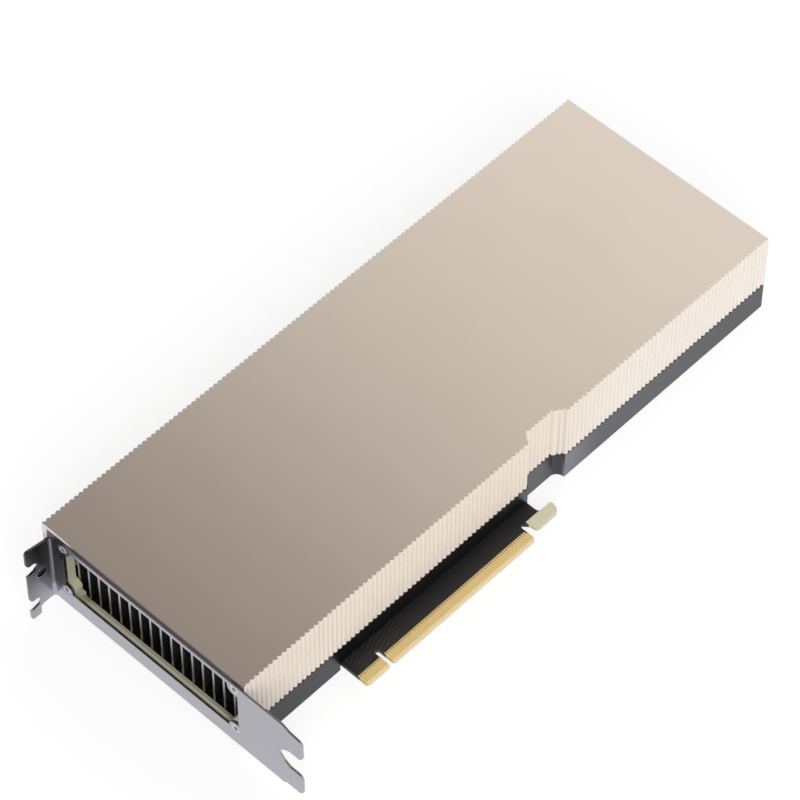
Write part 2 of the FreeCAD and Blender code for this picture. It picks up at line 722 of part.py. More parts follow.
PACKAGE_TOP = size("package_thick")
DIE_TOP = PACKAGE_TOP + size("die_thick")
DIE_LENGTH = 26.0
DIE_WIDTH = 32.0
MEMORY_LENGTH = 8.0
MEMORY_WIDTH = 12.0
MEMORY_SPACE = 0.6
HOT_LENGTH = DIE_LENGTH + 2 * (MEMORY_LENGTH + 0.5)   # area that the heatsink must cover
HOT_WIDTH = 3 * MEMORY_WIDTH + 2 * MEMORY_SPACE

package = box("gpu_package", ("gpu_x - package_side / 2", "gpu_y - package_side / 2", "0"),
              ("package_side", "package_side", "package_thick"))
cut(
    "package_stiffener",
    box("stiffener_plate", ("gpu_x - package_side / 2", "gpu_y - package_side / 2",
                            "package_thick"), ("package_side", "package_side", "die_thick - 0.1")),
    box("stiffener_window", ("gpu_x - package_side / 2 + 5", "gpu_y - package_side / 2 + 5", "0"),
        ("package_side - 10", "package_side - 10", "5")))
feature("gpu_die", block(GPU.x, GPU.y, PACKAGE_TOP, DIE_LENGTH, DIE_WIDTH, size("die_thick")))
memory_x = DIE_LENGTH / 2 + MEMORY_LENGTH / 2 + 0.5
group("memory_stacks", [
    block(GPU.x + side * memory_x, GPU.y + row * (MEMORY_WIDTH + MEMORY_SPACE), PACKAGE_TOP,
          MEMORY_LENGTH, MEMORY_WIDTH, size("die_thick"))
    for side in (-1, 1) for row in (-1, 0, 1)])
feature("thermal_compound", block(GPU.x, GPU.y, DIE_TOP, HOT_LENGTH, HOT_WIDTH,
                                  size("compound_thick")))

# ---------------------------------------------------------------- heatsink

chamber = new_body("vapour_chamber")


def clipped_rectangle(low_x, low_y, high_x, high_y, clip):
    return [Vector(low_x + clip, low_y, 0), Vector(high_x - clip, low_y, 0),
            Vector(high_x, low_y + clip, 0), Vector(high_x, high_y - clip, 0),
            Vector(high_x - clip, high_y, 0), Vector(low_x + clip, high_y, 0),
            Vector(low_x, high_y - clip, 0), Vector(low_x, low_y + clip, 0)]


pad(chamber, sketch_on(chamber, "chamber_outline", "XY_Plane", "chamber_under", [
    clipped_rectangle(size("chamber_start"), size("chamber_near"), size("chamber_end"),
                      size("chamber_far"), size("chamber_corner"))]), "deck_top - chamber_under")
pedestal = sketch_on(chamber, "pedestal_outline", "XY_Plane",
                     "package_thick + die_thick + compound_thick", [
                         rectangle(GPU.x - HOT_LENGTH / 2, GPU.y - HOT_WIDTH / 2,
                                   GPU.x + HOT_LENGTH / 2, GPU.y + HOT_WIDTH / 2)])
pad(chamber, pedestal, "chamber_under - package_thick - die_thick - compound_thick + 0.2")
pad(chamber, sketch_on(chamber, "chamber_posts", "XY_Plane", "0", [
    polygon(place, size("post_radius"), sides=6) for place in HEATSINK_SCREWS]), "chamber_under + 0.2")
pocket(chamber, sketch_on(chamber, "chamber_pilots", "XY_Plane", "0", [
    polygon(place, size("screw_pilot")) for place in HEATSINK_SCREWS]),
       "deck_top - 1", reversed_way=True)

fins = new_body("fin_stack")
fin_near = size("fin_near")
fin_span = size("fin_pitch") * (size("fin_count") - 1)
foot_front = size("fin_front") + 8.0
foot_lip = 0.9
fin_half = size("fin_thick") / 2
fin_back = size("fin_back")


def repeat(body, feature_to_repeat, count, length):
    pattern = body.newObject("PartDesign::LinearPattern", feature_to_repeat.Name + "_row")
    pattern.Originals = [feature_to_repeat]
    axis = [f for f in body.Origin.OriginFeatures if f.Role == "Y_Axis"][0]
    pattern.Direction = (axis, [""])
    pattern.Occurrences = count
    bind(pattern, Length=cells(length))
    body.Tip = pattern


pad(fins, sketch_on(fins, "fin_foot", "XY_Plane", "deck_top", [
    rectangle(foot_front, fin_near - foot_lip, fin_back, fin_near + fin_span + foot_lip)]), "fin_foot")
main_fin = pad(fins, sketch_on(fins, "main_fin", "XY_Plane", "deck_top + fin_foot", [
    rectangle(size("fin_front"), fin_near - fin_half, fin_back, fin_near + fin_half)]),
    "fin_top - deck_top - fin_foot")
repeat(fins, main_fin, int(size("fin_count")), "fin_pitch * (fin_count - 1)")
fin_skirt = pad(fins, sketch_on(fins, "fin_skirt", "XY_Plane", "skirt_low", [
    rectangle(size("fin_front"), fin_near - fin_half, size("fin_front") + size("fin_skirt"),
              fin_near + fin_half)]), "deck_top + fin_foot - skirt_low")
repeat(fins, fin_skirt, int(size("fin_count")), "fin_pitch * (fin_count - 1)")
inner_half = size("fin_inner_thick") / 2
inner_y = fin_near + size("fin_pitch") / 2
inner_fin = pad(fins, sketch_on(fins, "inner_fin", "XY_Plane", "deck_top + fin_foot", [
    rectangle(size("fin_inner_front"), inner_y - inner_half, fin_back, inner_y + inner_half)]),
    "fin_top - deck_top - fin_foot - 0.8")
repeat(fins, inner_fin, int(size("fin_count")) - 1, "fin_pitch * (fin_count - 2)")

# ---------------------------------------------------------------- parts soldered to the board

INDUCTOR = size("inductor_side")
INDUCTOR_TOP = size("inductor_high")
INDUCTOR_COLUMNS = (32.0, 45.0, 222.5, 235.0)
INDUCTOR_ROWS = [38.0 + 10.5 * n for n in range(5)]
inductor_places = [(x, y) for x in INDUCTOR_COLUMNS for y in INDUCTOR_ROWS]
group("power_inductors", [block(x, y, 0, INDUCTOR, INDUCTOR, INDUCTOR_TOP)
                          for x, y in inductor_places])
group("inductor_pads", [block(x, INDUCTOR_ROWS[2], INDUCTOR_TOP, INDUCTOR,
                              INDUCTOR_ROWS[-1] - INDUCTOR_ROWS[0] + INDUCTOR,
                              size("deck_under") - INDUCTOR_TOP) for x in INDUCTOR_COLUMNS])
group("power_stages", [block(x, y, 0, 5.0, 6.0, 0.9) for x in (53.0, 211.0) for y in INDUCTOR_ROWS])
group("capacitors", [block(x, y, 0, 7.3, 4.3, 1.9)
                     for x in (84.0, 188.0) for y in [34.0 + 8.0 * n for n in range(8)]])
group("memory_power_chips", [block(GPU.x + dx, y, 0, 4.0, 4.0, 0.9)
                             for dx in (-18.0, -6.0, 6.0, 18.0) for y in (28.0, 97.5)])

# ---------------------------------------------------------------- power socket at the far end

PIN_PITCH = size("pin_pitch")
SOCKET_NEAR = size("socket_near")
SOCKET_FACE = BACK - 0.3
pin_rows = [(SOCKET_NEAR + size("socket_width") / 2 + PIN_PITCH * (n - 1.5), level)
            for n in range(4) for level in (2.9, 2.9 + PIN_PITCH)]
socket_block = box("socket_block", ("card_length - 0.3 - socket_length", "socket_near", "0"),
                   ("socket_length", "socket_width", "socket_high"))
socket_cells = feature("socket_cells", Part.makeCompound([
    Part.makeBox(9.0, 3.6, 3.6, Vector(SOCKET_FACE - 8.0, y - 1.8, z - 1.8)) for y, z in pin_rows]))
socket_rail = box("socket_rail", ("card_length - 12", "socket_near + socket_width / 2 - 2.5",
                                  "socket_high - 0.2"), ("9", "5", "1.6"))
cut("power_socket", fuse("socket_with_rail", [socket_block, socket_rail]), socket_cells)
group("socket_pins", [block(SOCKET_FACE - 4.9, y, z - 0.32, 6.2, 0.64, 0.64) for y, z in pin_rows])

# ---------------------------------------------------------------- back plate

back_sheet = new_body("back_sheet")


def back_outline():
    near = SIDE + BOARD_INSET
    far = TOP_EDGE - BOARD_INSET
    left = FRONT + BOARD_INSET
    right = BACK - BOARD_INSET
    step_near = RECESS_FLOOR + BOARD_INSET
    step_left = size("recess_start") - BOARD_INSET
    step_right = size("recess_corner") + BOARD_INSET + 0.3
    return [Vector(left, near, 0), Vector(step_left, near, 0), Vector(step_left, step_near, 0),
            Vector(step_right, step_near, 0), Vector(step_right, near, 0), Vector(right, near, 0),
            Vector(right, far, 0), Vector(left, far, 0)]


# the plate lies on the back of the board, and its window leaves room for the heatsink's screws
WINDOW_REACH = size("heatsink_reach") + 5.0
pad(back_sheet, sketch_on(back_sheet, "back_outline", "XY_Plane", "0 - board_thick - back_thick", [
    back_outline(),
    rectangle(GPU.x - WINDOW_REACH, GPU.y - WINDOW_REACH, GPU.x + WINDOW_REACH,
              GPU.y + WINDOW_REACH)]), "back_thick")
back_seats = [countersink("back_seat_%d" % n, (x, y, "0 - board_thick - back_thick"), "back_thick")
              for n, (x, y) in enumerate(BOSS_PLACES)]
cut("back_plate", back_sheet, fuse("back_seats", back_seats))

# ---------------------------------------------------------------- screws

PILOT = size("screw_pilot")
HEAD = size("screw_head")


def prism(outline, height):
    """A solid that stands on a closed outline."""
    return Part.Face(path(outline)).extrude(Vector(0, 0, height))


def shank(start, end):
    """The threaded rod of a screw, as a plain rod with eight sides."""
    return prism([point + Vector(0, 0, start) for point in polygon(Vector(), PILOT)], end - start)


def flat_screw(head_high, length):
    """A countersunk screw along +Z with the crown of its head at Z = 0."""
    return Part.makeCone(HEAD, PILOT, head_high).fuse(shank(head_high, length))


def hex_screw(head_high, length):
    """A screw along +Z whose hexagonal head stands on Z = 0."""
    head = prism(polygon(Vector(), size("hex_radius"), sides=6), head_high)
    return head.fuse(shank(head_high, length))


def placed(solid, place, turn=FreeCAD.Rotation()):
    copy = solid.copy()
    copy.Placement = FreeCAD.Placement(place, turn)
    return copy


BRACKET_GRIP = 3.0           # how far each kind of screw bites into its threaded hole
CASE_GRIP = 7.5
HEATSINK_GRIP = 4.5
INWARD = FreeCAD.Rotation(Vector(0, 1, 0), 90)
bracket_screw = flat_screw(SHEET, SHEET + BRACKET_GRIP)
group("bracket_screws", [placed(bracket_screw, Vector(0, y, z), INWARD) for y, z in SCREW_PLACES])
BACK_FACE = -size("board_thick") - size("back_thick")
case_screw = flat_screw(size("back_thick"), size("shroud_lip") - BACK_FACE + CASE_GRIP)
group("case_screws", [placed(case_screw, place + Vector(0, 0, BACK_FACE)) for place in CASE_SCREWS])
HEX_LOW = -size("board_thick") - size("hex_high")
heatsink_screw = hex_screw(size("hex_high"), HEATSINK_GRIP - HEX_LOW)
group("heatsink_screws", [placed(heatsink_screw, place + Vector(0, 0, HEX_LOW))
                          for place in HEATSINK_SCREWS])

# ---------------------------------------------------------------- check and write the nodes

NODES = [
    "shroud", "base_frame", "exhaust_frame", "bracket", "circuit_board", "edge_contacts_front",
    "edge_contacts_back", "gpu_package", "package_stiffener", "gpu_die", "memory_stacks",
    "thermal_compound", "vapour_chamber", "fin_stack", "power_inductors", "inductor_pads",
    "power_stages", "capacitors", "memory_power_chips", "power_socket", "socket_pins",
    "back_plate", "bracket_screws", "case_screws", "heatsink_screws",
]

doc.recompute()
for item in doc.Objects:
    if "Invalid" in item.State or "Error" in item.State:
        raise RuntimeError("%s failed: %s" % (item.Label, item.State))
for label in NODES:
    item = doc.getObjectsByLabel(label)[0]
    shape = item.Shape
    if shape.isNull() or not shape.isValid():
        raise RuntimeError("%s has no valid shape" % label)
    shape.exportStep("parts/%s.step" % label)
    print("%-22s solids %3d  volume %10.1f" % (label, len(shape.Solids), shape.Volume))
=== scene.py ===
import json
import math

import bmesh
import bpy
import numpy as np
from mathutils import Matrix, Vector

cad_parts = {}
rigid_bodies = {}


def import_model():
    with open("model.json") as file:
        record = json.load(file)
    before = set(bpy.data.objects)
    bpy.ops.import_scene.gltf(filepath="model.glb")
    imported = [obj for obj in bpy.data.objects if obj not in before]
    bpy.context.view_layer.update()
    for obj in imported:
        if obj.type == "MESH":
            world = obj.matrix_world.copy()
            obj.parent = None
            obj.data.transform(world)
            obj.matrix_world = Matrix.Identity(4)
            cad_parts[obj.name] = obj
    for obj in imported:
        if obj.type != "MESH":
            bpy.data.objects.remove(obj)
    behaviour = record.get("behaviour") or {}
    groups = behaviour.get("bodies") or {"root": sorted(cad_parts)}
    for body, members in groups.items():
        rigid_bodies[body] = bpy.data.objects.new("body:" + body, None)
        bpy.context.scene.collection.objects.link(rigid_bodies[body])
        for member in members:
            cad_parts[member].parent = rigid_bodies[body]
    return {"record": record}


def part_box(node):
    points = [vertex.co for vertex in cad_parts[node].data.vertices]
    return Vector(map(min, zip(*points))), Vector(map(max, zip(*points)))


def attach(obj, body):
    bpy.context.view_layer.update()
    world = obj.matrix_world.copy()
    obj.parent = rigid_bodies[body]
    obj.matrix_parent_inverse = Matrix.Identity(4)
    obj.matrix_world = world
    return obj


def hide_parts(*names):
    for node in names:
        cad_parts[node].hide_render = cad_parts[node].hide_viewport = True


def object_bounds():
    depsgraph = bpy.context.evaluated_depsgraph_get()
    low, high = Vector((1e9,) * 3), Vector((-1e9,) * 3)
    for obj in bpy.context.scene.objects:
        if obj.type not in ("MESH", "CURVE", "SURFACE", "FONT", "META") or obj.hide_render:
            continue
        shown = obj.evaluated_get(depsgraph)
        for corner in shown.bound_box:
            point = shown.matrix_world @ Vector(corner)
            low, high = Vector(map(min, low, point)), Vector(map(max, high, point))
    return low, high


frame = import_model()
cad_low, cad_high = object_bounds()

MM = 0.001


def node_box(name):
    """The low and the high corner of a node's box, in millimetres."""
    return tuple(np.array(corner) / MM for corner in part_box(name))


# Sizes in millimetres, in the card's own frame.
SHROUD_LOW, SHROUD_HIGH = node_box("shroud")
RIB_PITCH = 2.16
RIB_DEPTH = 0.7
RIB_LAND = 0.9               # plain strip of the wall at each end of the card
RIB_VALLEY = 0.3             # flat between two ribs
RIB_STEPS = 11               # points across one rib
RECESS_START = 141.0         # X where the near side turns in behind the retention hook
RECESS_FLAT = 144.4          # X where the recess's floor and its ribs start
RECESS_RIBS_END = 156.5
RECESS_CORNER = 160.3
RECESS_DEPTH = 3.7
SIDE_SKIN = 2.2              # wall from the rib crests to the duct
TOP_SKIN = 1.4
TOP_BEVEL = 0.1
BOSS_INSET = 4.8
BOSS_RADIUS = 2.7
BOSS_HIGH = 12.0
BOSS_COLUMNS = (10.0, 250.0)
SCREW_HEAD = 2.1
SCREW_SHANK = 1.05
SCREW_TIP = 0.7
SCREW_POINT = 0.5            # length of the tip's taper
SCREW_GRIP = 3.0             # length of a bracket screw past the sheet
SCREW_SINK = 0.07            # how far a case screw's rim lies inside the back face
SCREW_LOBES = 6
BRACKET_SCREWS = ((17.0, 6.7), (99.4, 6.7), (99.4, 30.3), (17.0, 30.3))
TURN_STEP = 7.5              # degrees between the columns of a turned piece
SHEET = 0.86
BEND_RADIUS = 1.4
TAB_FACE = 105.5             # Y of the tab's face
WINDOW_LOW = 6.2             # Z of the window's lower and upper edges
WINDOW_HIGH = 31.2
WINDOW_START = 15.4          # Y of the window's ends, the second beside the bend
WINDOW_END = 99.2
TAB_HOLE = (-5.1, 16.4)      # X and Z of the hole in the tab
TAB_HOLE_RADIUS = 2.1
COLLAR_WALL = 0.35
COLLAR_LENGTH = 1.3
BACK_PLATE = 1.4
BEVEL_TOP = 1.3              # Y where the bevels of the connector edge end
BARE_TOP = 4.2               # Y up to which the board is bare between the contacts
HOOK_START = 134.0
HOOK_FOOT_TOP = 7.6          # Y up to which the retention hook is bare laminate
NEAR_PAINTED_LIGHT_END = (19.0, 22.0)    # Y over which the painted light and shade of the base frame's near side end
SHARP_ANGLE = 35.0           # degrees past which an edge is sharp


# ------------------------------------------------------------------ node helpers

class Value:
    """A number that varies over a surface: a node's output, which takes plain arithmetic.

    Each operation adds one Math node to the tree.
    """

    def __init__(self, tree, socket):
        self.tree = tree
        self.socket = socket

    def __add__(self, other):
        return math_node(self.tree, "ADD", self, other)

    def __sub__(self, other):
        return math_node(self.tree, "SUBTRACT", self, other)

    def __rsub__(self, other):
        return math_node(self.tree, "SUBTRACT", other, self)

    def __mul__(self, other):
        return math_node(self.tree, "MULTIPLY", self, other)

    def __truediv__(self, other):
        return math_node(self.tree, "DIVIDE", self, other)

    def __abs__(self):
        return math_node(self.tree, "ABSOLUTE", self)

    def sine(self):
        return math_node(self.tree, "SINE", self)

    def or_more(self, other):
        return math_node(self.tree, "MAXIMUM", self, other)


def feed(tree, socket, value):
    """Link a socket to a Value or a socket, or set its number, vector or opaque colour."""
    if isinstance(value, Value):
        tree.links.new(value.socket, socket)
    elif isinstance(value, bpy.types.NodeSocket):
        tree.links.new(value, socket)
    elif socket.type == "RGBA":
        socket.default_value = (*value, 1.0)
    else:
        socket.default_value = value


def new_material(name):
    """An empty node material with its output; returns the material, its tree and the output."""
    material = bpy.data.materials.new(name)
    material.use_nodes = True
    tree = material.node_tree
    tree.nodes.clear()
    return material, tree, tree.nodes.new("ShaderNodeOutputMaterial")


def node(tree, kind, **values):
    """A node of a kind; values name its inputs, or its properties where no input has the name."""
    made = tree.nodes.new("ShaderNode" + kind)
    for name, value in values.items():
        label = name.replace("_", " ")
        if label in made.inputs:
            feed(tree, made.inputs[label], value)
        else:
            setattr(made, name, value)
    return made


def principled(tree, output, **values):
    """A Principled BSDF wired to the output, with constants on its own sockets."""
    shader = node(tree, "BsdfPrincipled", **values)
    tree.links.new(shader.outputs["BSDF"], output.inputs["Surface"])
    return shader


def math_node(tree, operation, *values):
    """The result of a Math node; each value is a number or a Value."""
    made = node(tree, "Math", operation=operation)
    for place, value in enumerate(values):
        feed(tree, made.inputs[place], value)
    return Value(tree, made.outputs[0])


def scaled(tree, vector, factor):
    """A vector or a colour times a number or a Value."""
    made = node(tree, "VectorMath", operation="SCALE")
    feed(tree, made.inputs[0], vector)
    feed(tree, made.inputs["Scale"], factor)
    return made.outputs[0]


def noise(tree, place, scale, detail, roughness=0.5):
    """A noise between 0 and 1 that varies with the place."""
    made = node(tree, "TexNoise", Vector=place, Scale=scale, Detail=detail, Roughness=roughness)
    return Value(tree, made.outputs["Fac"])


def blend(factor, first, second):
    """A colour that goes from the first, where the factor is 0, to the second, where it is 1."""
    tree = factor.tree
    made = tree.nodes.new("ShaderNodeMix")
    made.data_type = "RGBA"
    for place, value in ((0, factor), (6, first), (7, second)):
        feed(tree, made.inputs[place], value)
    return made.outputs[2]


def ramp(value, start, end, low, high):
    """A smooth step of a value from low at start to high at end."""
    made = node(value.tree, "MapRange", interpolation_type="SMOOTHSTEP", Value=value,
                From_Min=start, From_Max=end, To_Min=low, To_Max=high)
    return Value(value.tree, made.outputs[0])


def rise(value, start, end):
    """A smooth step from 0 to 1."""
    return ramp(value, start, end, 0.0, 1.0)


def fall(value, start, end):
    """A smooth step from 1 to 0."""
    return ramp(value, start, end, 1.0, 0.0)


def split(tree, vector):
    """The X, Y and Z of a vector."""
    parts = node(tree, "SeparateXYZ", Vector=vector)
    return (Value(tree, parts.outputs[label]) for label in "XYZ")


def axes(tree):
    """Object coordinates in millimetres: the place vector and its X, Y and Z."""
    place = scaled(tree, node(tree, "TexCoord").outputs["Object"], 1 / MM)
    return place, *split(tree, place)


def new_group(name, inputs, outputs):
    """A shader node group with float inputs (name: default) and outputs (name: socket kind)."""
    group = bpy.data.node_groups.new(name, "ShaderNodeTree")
    for label, default in inputs.items():
        socket = group.interface.new_socket(label, in_out="INPUT", socket_type="NodeSocketFloat")
        socket.default_value = default
    for label, kind in outputs.items():
        group.interface.new_socket(label, in_out="OUTPUT", socket_type=kind)
    return group, group.nodes.new("NodeGroupInput"), group.nodes.new("NodeGroupOutput")


# ------------------------------------------------------------------ effects shared by the finishes

def make_fine_grain():
    """The grain of a blasted, etched or moulded face, with slow drifts of tone.

    Tone is 1 plus a slow noise, counted from its middle, times Tone Depth. Roughness is its base
    plus a tenth of a fine noise, counted in the same way. Normal is the rounded edges' normal,
    roughened by the same fine noise.
    """
    group, given, out = new_group(
        "fine_grain", {"Grain Scale": 6.0, "Grain Depth": 0.1, "Tone Depth": 0.03,
                       "Roughness": 0.3, "Edge Radius": 0.12},
        {"Tone": "NodeSocketFloat", "Roughness": "NodeSocketFloat", "Normal": "NodeSocketVector"})
    grain_height = 0.00002
    base = {label: Value(group, given.outputs[label])
            for label in ("Grain Scale", "Grain Depth", "Tone Depth", "Roughness", "Edge Radius")}
    place = axes(group)[0]
    fine = noise(group, place, base["Grain Scale"], 3.0, 0.6)
    slow = noise(group, place, 0.035, 2.0)
    feed(group, out.inputs["Tone"], (slow - 0.5) * base["Tone Depth"] + 1.0)
    feed(group, out.inputs["Roughness"], (fine - 0.5) * 0.1 + base["Roughness"])
    rounded = node(group, "Bevel", samples=4, Radius=base["Edge Radius"] * MM)
    bump = node(group, "Bump", Distance=grain_height, Strength=base["Grain Depth"], Height=fine,
                Normal=rounded.outputs["Normal"])
    feed(group, out.inputs["Normal"], bump.outputs["Normal"])
    return group


FINE_GRAIN = make_fine_grain()


def grained(tree, shader, colour, roughness, grain=0.1, tone=0.04, edge=0.12):
    """Give a shader the fine grain; colour is a tuple of three or a colour socket."""
    made = tree.nodes.new("ShaderNodeGroup")
    made.node_tree = FINE_GRAIN
    for label, value in (("Grain Depth", grain), ("Tone Depth", tone), ("Roughness", roughness),
                         ("Edge Radius", edge)):
        feed(tree, made.inputs[label], value)
    feed(tree, shader.inputs["Base Color"], scaled(tree, colour, made.outputs["Tone"]))
    feed(tree, shader.inputs["Roughness"], made.outputs["Roughness"])
    feed(tree, shader.inputs["Normal"], made.outputs["Normal"])


def plain_finish(name, colour, roughness, metallic=1.0, **grain):
    """A finish of one colour with the fine grain."""
    material, tree, output = new_material(name)
    grained(tree, principled(tree, output, Metallic=metallic), colour, roughness, **grain)
    return material


# ------------------------------------------------------------------ finishes of their own

def board_finish():
    """Black solder mask over slanting traces, with bare laminate at the edges.

    The traces are the crests of sin(k y - m x + a sin(q x)), in patches, strongest on both sides
    of the key and faint beyond. The laminate is bare on the hook's foot and, tinted by the gold,
    on the bevels, on the edge itself and low down between the contacts.
    """
    solder_mask = (0.011, 0.011, 0.012)
    trace = (0.032, 0.032, 0.034)
    between_contacts = (0.80, 0.60, 0.28)
    bevel_tone = (0.84, 0.65, 0.33)
    edge_tone = (0.82, 0.73, 0.54)
    laminate_tones = ((0.68, 0.66, 0.47), (0.80, 0.78, 0.58))
    material, tree, output = new_material("board")
    place, x, y, _ = axes(tree)
    waves = (y * 3.9 - x * 1.5 + (x * 0.8).sine() * 0.8).sine()
    beside_key = rise(x, 22.0, 34.0) * ramp(x, 68.0, 84.0, 1.0, 0.15)
    shown = rise(noise(tree, place, 0.16, 1.0), 0.38, 0.56) * beside_key
    colour = blend(rise(waves, 0.1, 0.7) * shown, solder_mask, trace)
    bare = (fall(y, BARE_TOP - 0.25, BARE_TOP + 0.25)
            * fall(x, HOOK_START - 2.1, HOOK_START - 1.9))
    colour = blend(bare, colour, between_contacts)
    colour = blend(fall(y, BEVEL_TOP - 0.1, BEVEL_TOP + 0.1), colour, bevel_tone)
    colour = blend(fall(y, 0.1, 0.7), colour, edge_tone)
    foot = (fall(y, HOOK_FOOT_TOP - 0.06, HOOK_FOOT_TOP + 0.06)
            * rise(x, HOOK_START - 0.1, HOOK_START + 0.1))
    colour = blend(foot, colour, blend(noise(tree, place, 3.0, 2.0), *laminate_tones))
    grained(tree, principled(tree, output), colour, 0.42, grain=0.15, edge=0.05)
    return material


def steel_finish():
    """Satin plated sheet steel: a cool grey, with fine marks drawn along the sheet.

    Painted dark reflection dulls the plating beside the bend, where (x + r) - (y - c) counts from
    the tab, through 0 in the bend's middle, to the plate, and towards the top of the tab too. A
    painted highlight leaves a bright crease along the bend's middle. The tab's hole is black inside
    with painted shade and has a bright rim of painted highlight.
    """
    steel_tones = ((0.37, 0.365, 0.41), (0.43, 0.425, 0.47))
    painted_dark_reflection = (0.09, 0.09, 0.1)
    black = (0.004, 0.004, 0.004)
    material, tree, output = new_material("bracket_steel")
    place, x, y, z = axes(tree)
    stretch = node(tree, "VectorMath", operation="MULTIPLY")
    feed(tree, stretch.inputs[0], place)
    feed(tree, stretch.inputs[1], (1.0, 0.04, 1.0))
    colour = blend(noise(tree, stretch.outputs[0], 5.0, 2.0), *steel_tones)
    # Painted dark reflection on the tab and beside the bend, with a painted highlight along the
    # crease.
    round_way = (x + BEND_RADIUS) - (y - (TAB_FACE - BEND_RADIUS))
    on_tab = fall(round_way, -1.2, -0.6)
    up_tab = rise(z + x * -0.5, -7.0, 28.0)
    beside_bend = (fall(round_way, 6.2, 9.0)
                   * rise(z, WINDOW_LOW - 3.0, WINDOW_LOW + 2.0))
    dull = on_tab * up_tab + (1.0 - on_tab) * beside_bend
    off_crease_highlight = ramp(abs(round_way), 0.05, 0.35, 0.3, 1.0)
    colour = blend(dull * off_crease_highlight, colour, painted_dark_reflection)
    from_hole = node(tree, "CombineXYZ", X=x - TAB_HOLE[0], Z=z - TAB_HOLE[1])
    length = node(tree, "VectorMath", operation="LENGTH")
    feed(tree, length.inputs[0], from_hole.outputs[0])
    away = Value(tree, length.outputs["Value"])
    # Painted highlight on the hole's rim, and painted shade that turns the inside of the hole black.
    rim = fall(away, TAB_HOLE_RADIUS + 0.35, TAB_HOLE_RADIUS + 0.5) * 0.7
    colour = blend(rim, colour, steel_tones[1])
    hole_wall_shade = fall(away, TAB_HOLE_RADIUS + 0.02, TAB_HOLE_RADIUS + 0.08)
    colour = blend(hole_wall_shade, colour, black)
    grained(tree, principled(tree, output, Metallic=1.0), colour, 0.24, grain=0.05, edge=0.06)
    return material


def champagne_finish():
    """Anodised aluminium: a smoothly blasted face, coarser ribbed sides a little paler towards
    the far end, and a cut end that painted shade darkens along the bracket and that is pale past the
    bend."""
    face_tone = (0.87, 0.775, 0.67)
    ribbed_tones = ((0.95, 0.865, 0.765), (1.0, 0.935, 0.86))
    cut_shade_and_pale_tones = ((0.26, 0.22, 0.20), (1.0, 0.97, 0.94))
    material, tree, output = new_material("champagne_metal")
    shader = principled(tree, output)
    _, x, y, z = axes(tree)
    face = rise(z, SHROUD_HIGH[2] - 0.03, SHROUD_HIGH[2] - 0.005)
    feed(tree, shader.inputs["Metallic"], face * 0.8 + 0.2)
    ribbed = blend(rise(x, RECESS_START, RECESS_CORNER + 35.0), *ribbed_tones)
    # Painted shade on the cut end along the bracket; past the bend it is pale.
    cut = blend(rise(y, WINDOW_END - 5.0, WINDOW_END), *cut_shade_and_pale_tones)
    side = blend(fall(x, SHROUD_LOW[0] + 0.02, SHROUD_LOW[0] + 0.1), ribbed, cut)
    grained(tree, shader, blend(face, side, face_tone), 0.5 - face * 0.3, grain=0.06, edge=0.05)
    return material


def frame_finish():
    """Olive-grey: the champagne metal darkened by painted shade, and dark brown with painted shade
    on the rails that the bracket covers.

    Painted light makes it paler along the lower rail and palest in the corner at the connector's
    side.
    """
    # The olive-grey is the champagne metal darkened by painted shade.
    shaded_champagne = (0.50, 0.47, 0.34)
    painted_rail_light = (0.80, 0.76, 0.58)
    painted_corner_light = (1.0, 0.96, 0.87)
    painted_gap_shade = (0.05, 0.04, 0.035)
    material, tree, output = new_material("frame_metal")
    _, _, y, z = axes(tree)
    # Painted light on the lower rail and the corner, painted shade where the bracket covers the
    # rails.
    lit_low_rail = fall(z, 8.2, 8.8) * fall(y, WINDOW_END - 11.0, WINDOW_END - 6.0)
    colour = blend(lit_low_rail, shaded_champagne, painted_rail_light)
    colour = blend(fall(y, WINDOW_START + 4.0, WINDOW_START + 7.0), colour, painted_corner_light)
    shaded_behind_bracket = rise(z, WINDOW_HIGH - 0.1, WINDOW_HIGH + 0.3).or_more(
        rise(y, WINDOW_END + 0.3, WINDOW_END + 0.7))
    colour = blend(shaded_behind_bracket, colour, painted_gap_shade)
    grained(tree, principled(tree, output), colour, 0.45)
    return material


def dark_finish():
    """Dark anodised aluminium, made black by painted shade on the ledge under the shroud's ribs.

    Along the connector's side, painted light, shade and reflection change its tone: it falls off
    towards the bracket and in the end of the recess, rises just past the recess's corner and
    sinks a little to the far end.
    """
    dark_tone = (0.095, 0.095, 0.11)
    ledge_painted_shade = (0.01, 0.009, 0.007)
    material, tree, output = new_material("dark_metal")
    _, x, y, z = axes(tree)
    # Painted light, shade and reflection along the connector's side.
    front_end = ramp(x, 10.0, 90.0, 0.28, 1.0)
    recess_end = (rise(x, RECESS_RIBS_END - 6.0, RECESS_RIBS_END)
                  * fall(x, RECESS_CORNER - 0.1, RECESS_CORNER))
    past_corner = (rise(x, RECESS_CORNER - 0.1, RECESS_CORNER + 0.1)
                   * fall(x, RECESS_CORNER, RECESS_CORNER + 20.0))
    far_end = ramp(x, 195.0, 262.0, 1.0, 0.8)
    near_side_painted_light = (front_end - recess_end * 0.33 + past_corner * 1.1) * far_end
    elsewhere = rise(y, *NEAR_PAINTED_LIGHT_END)
    tone = near_side_painted_light * (1.0 - elsewhere) + elsewhere
    # Painted shade: the ledge under the ribs turns black.
    ledge = rise(z, SHROUD_LOW[2] - 0.12, SHROUD_LOW[2] - 0.04)
    colour = blend(ledge, scaled(tree, dark_tone, tone), ledge_painted_shade)
    grained(tree, principled(tree, output, Metallic=1.0), colour, 0.34)
    return material


